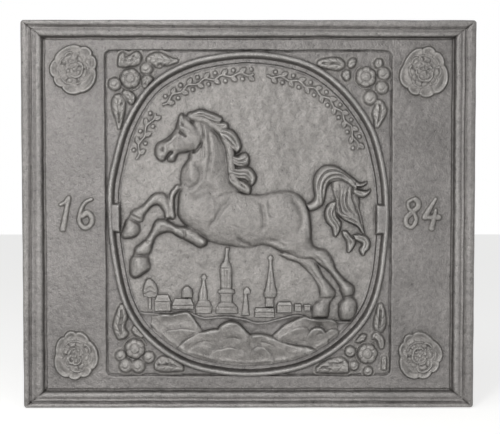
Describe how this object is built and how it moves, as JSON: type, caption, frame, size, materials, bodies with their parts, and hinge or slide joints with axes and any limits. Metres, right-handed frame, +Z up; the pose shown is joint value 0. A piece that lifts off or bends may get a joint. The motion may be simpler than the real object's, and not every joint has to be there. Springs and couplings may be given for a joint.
{
  "type": "fireback",
  "caption": "Rectangular cast-iron fireback with a moulded frame, an oval field with a leaping horse over a small town, corner flowers, rosettes and numerals.",
  "frame": {"origin": "the middle of the foot that stands on the hearth: halfway across the width, halfway through the depth, at the bottom", "axes": "+X to the right as seen from the front, +Y towards the wall behind, +Z up; the carved face looks along -Y"},
  "size_m": [0.7, 0.027, 0.6],
  "materials": {
    "cast_iron_plate": "sand-cast, graphited",
    "cast_iron_board": "sand-cast, graphited",
    "cast_iron_moulding": "sand-cast, graphited, edges rubbed bright",
    "cast_iron_relief": "sand-cast, graphited, high points rubbed bright"
  },
  "bodies": {
    "root": {"back_plate": "cast_iron_plate", "top_rail": "cast_iron_moulding", "bottom_rail": "cast_iron_moulding", "left_stile": "cast_iron_moulding", "right_stile": "cast_iron_moulding", "border_left": "cast_iron_board", "border_right": "cast_iron_board", "strip_top": "cast_iron_board", "strip_bottom": "cast_iron_board", "spandrel_top_left": "cast_iron_board", "spandrel_top_right": "cast_iron_board", "spandrel_bottom_left": "cast_iron_board", "spandrel_bottom_right": "cast_iron_board", "band_top": "cast_iron_moulding", "band_bottom": "cast_iron_moulding", "band_left": "cast_iron_moulding", "band_right": "cast_iron_moulding", "rosette_top_left": "cast_iron_relief", "rosette_top_right": "cast_iron_relief", "rosette_bottom_left": "cast_iron_relief", "rosette_bottom_right": "cast_iron_relief", "numeral_one": "cast_iron_relief", "numeral_six": "cast_iron_relief", "numeral_eight": "cast_iron_relief", "numeral_four": "cast_iron_relief", "blossom_top_left": "cast_iron_relief", "blossom_top_right": "cast_iron_relief", "blossom_bottom_left": "cast_iron_relief", "blossom_bottom_right": "cast_iron_relief", "leaves_top_left": "cast_iron_relief", "leaves_top_right": "cast_iron_relief", "leaves_bottom_left": "cast_iron_relief", "leaves_bottom_right": "cast_iron_relief", "vine_left": "cast_iron_relief", "vine_middle": "cast_iron_relief", "vine_right": "cast_iron_relief", "horse_body": "cast_iron_relief", "near_foreleg": "cast_iron_relief", "far_foreleg": "cast_iron_relief", "near_hind_leg": "cast_iron_relief", "far_hind_leg": "cast_iron_relief", "mane": "cast_iron_relief", "tail": "cast_iron_relief", "ground": "cast_iron_board", "hill_left": "cast_iron_relief", "mound": "cast_iron_relief", "hill_right": "cast_iron_relief", "knolls": "cast_iron_relief", "rocks": "cast_iron_relief", "tree": "cast_iron_relief", "houses": "cast_iron_relief", "domed_house": "cast_iron_relief", "left_spire": "cast_iron_relief", "tall_tower": "cast_iron_relief", "small_tower": "cast_iron_relief", "right_spire": "cast_iron_relief", "town_wall": "cast_iron_relief", "cottages": "cast_iron_relief"}
  },
  "joints": []
}
